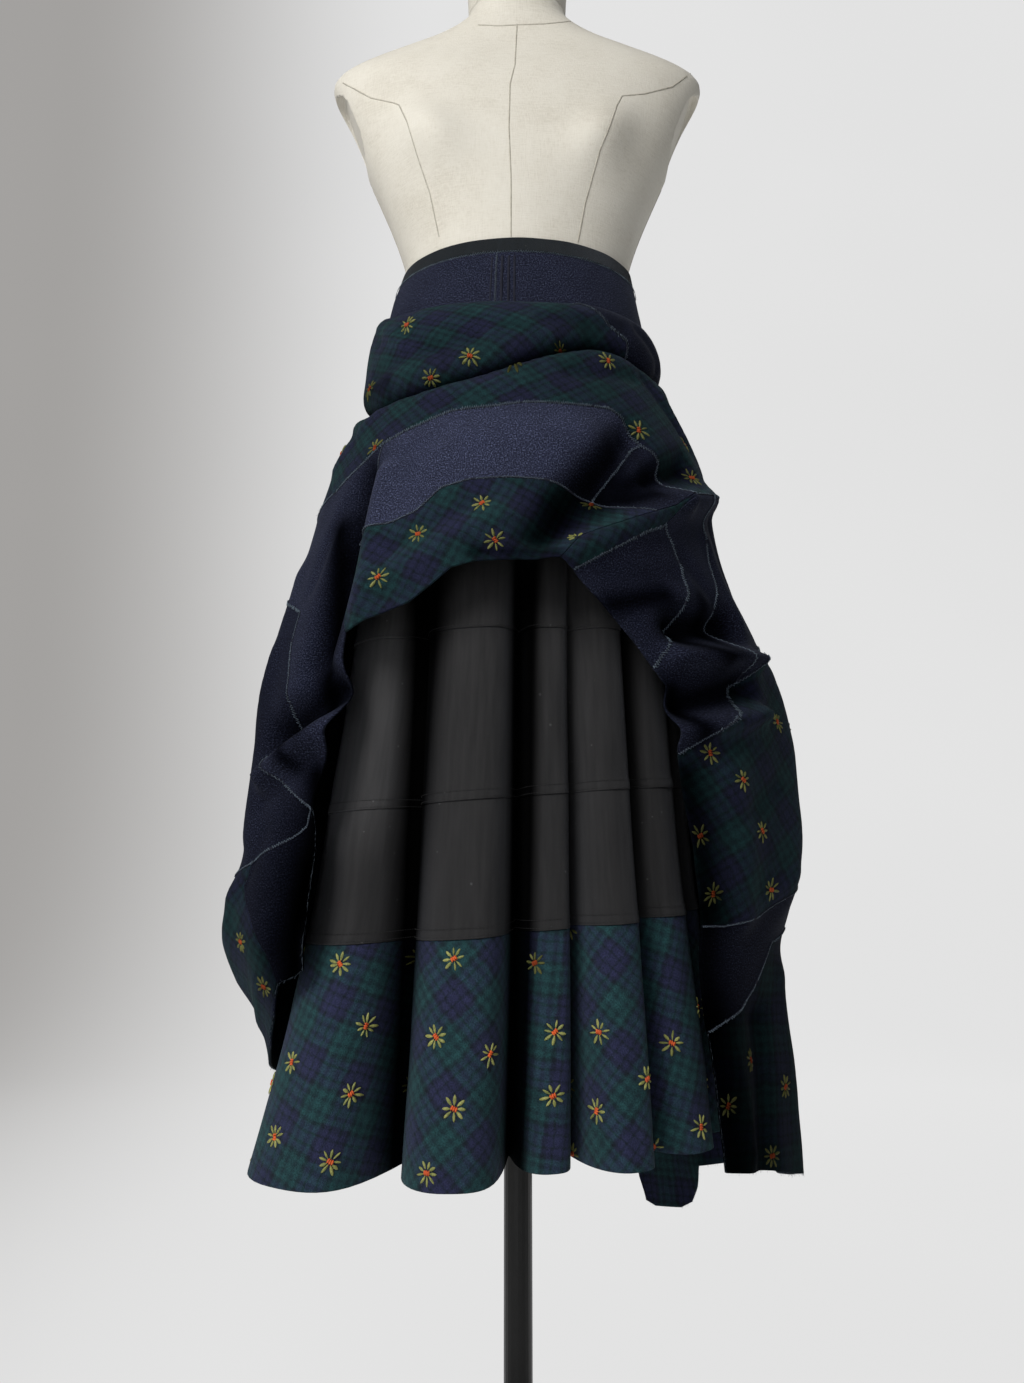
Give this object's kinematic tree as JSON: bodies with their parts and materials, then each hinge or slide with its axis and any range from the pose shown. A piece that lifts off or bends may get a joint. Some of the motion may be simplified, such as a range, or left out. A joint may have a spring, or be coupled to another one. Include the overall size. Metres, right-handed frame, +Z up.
{
  "type": "patchwork skirt on a limbless dress form",
  "caption": "Patchwork skirt worn hitched up on a limbless dress form: hip rolls and a swag of patches over an open cotton underskirt with a flared flounce, on a pole and round base.",
  "frame": {"origin": "centre of the flat underside of the stand's round base, on the pole's axis", "axes": "+Z up, -Y towards the front of the skirt, +X towards the wearer's left"},
  "size_m": [0.5738, 0.4339, 1.655],
  "materials": {
    "linen": "matt plain-woven cover",
    "black_metal": "satin black paint",
    "black_cotton": "matt cotton twill",
    "navy_wool": "matt felted wool",
    "tartan_wool": "brushed check flannel with embroidered flowers"
  },
  "bodies": {
    "root": {"stand_base": "black_metal", "stand_pole": "black_metal", "form_torso": "linen", "form_neck": "linen", "waistband_front": "black_cotton", "waistband_back": "black_cotton", "yoke_front_right_hand": "navy_wool", "yoke_front_left_hand": "navy_wool", "yoke_back": "navy_wool", "underskirt_top_front": "black_cotton", "underskirt_top_back": "black_cotton", "underskirt_middle_front": "black_cotton", "underskirt_middle_back": "black_cotton", "underskirt_band_front": "black_cotton", "underskirt_band_back": "black_cotton", "flounce_front": "tartan_wool", "flounce_back": "tartan_wool", "roll_front": "tartan_wool", "roll_right": "navy_wool", "roll_back_right": "tartan_wool", "roll_back_left": "tartan_wool", "swag_band": "tartan_wool", "swag_navy": "navy_wool", "swag_edge": "tartan_wool", "swag_gusset": "navy_wool", "cowl_strip": "tartan_wool", "cowl_patch": "navy_wool", "right_side_navy": "navy_wool", "right_outer_navy": "navy_wool", "right_tartan": "tartan_wool", "right_lower_navy": "navy_wool", "right_hem": "tartan_wool", "left_front_navy": "navy_wool", "left_side_navy": "navy_wool", "left_lower_navy": "navy_wool", "left_corner_tartan": "tartan_wool", "back_yoke_right": "tartan_wool", "back_upper_right": "navy_wool", "back_middle_right": "tartan_wool", "back_lower_right": "navy_wool", "back_hem_right": "tartan_wool", "back_yoke_left": "tartan_wool", "back_upper_left": "navy_wool", "back_middle_left": "navy_wool", "back_lower_left": "tartan_wool", "back_hem_left": "navy_wool"}
  },
  "joints": []
}
